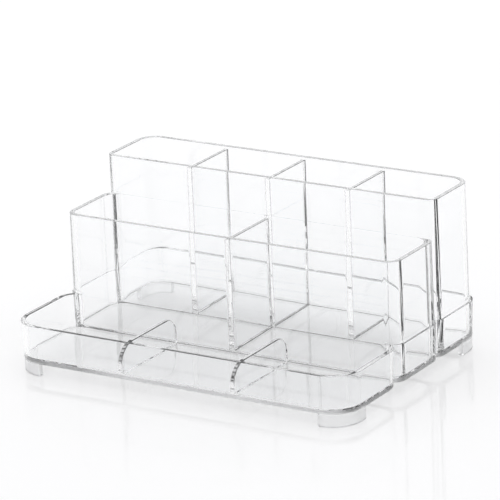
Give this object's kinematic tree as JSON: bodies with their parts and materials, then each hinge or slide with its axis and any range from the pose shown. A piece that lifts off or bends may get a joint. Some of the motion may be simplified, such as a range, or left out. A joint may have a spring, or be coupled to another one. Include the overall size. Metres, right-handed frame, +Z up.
{
  "type": "desk organizer",
  "caption": "Clear stepped desk organizer: a low divided front tray, a wide middle bin and tall rear pen bins on one floor with curved corner feet.",
  "frame": {"origin": "middle of the footprint, on the surface that the feet stand on", "axes": "+X to the organizer's right along its width, +Y from the low front tray to the tall rear tier, +Z up"},
  "size_m": [0.185, 0.128, 0.084],
  "materials": {
    "clear_plastic": "clear polystyrene, polished mould surface"
  },
  "bodies": {
    "root": {"floor_plate": "clear_plastic", "front_tray_wall": "clear_plastic", "lower_side_wall_left": "clear_plastic", "lower_side_wall_right": "clear_plastic", "lower_rear_wall": "clear_plastic", "middle_front_wall": "clear_plastic", "middle_side_wall_left": "clear_plastic", "middle_side_wall_right": "clear_plastic", "middle_divider": "clear_plastic", "rear_front_wall": "clear_plastic", "rear_outer_wall": "clear_plastic", "rear_divider_left": "clear_plastic", "rear_divider_middle": "clear_plastic", "rear_divider_right": "clear_plastic", "front_divider_left": "clear_plastic", "front_divider_right": "clear_plastic", "foot_front_left": "clear_plastic", "foot_front_right": "clear_plastic", "foot_rear_left": "clear_plastic", "foot_rear_right": "clear_plastic"}
  },
  "joints": []
}
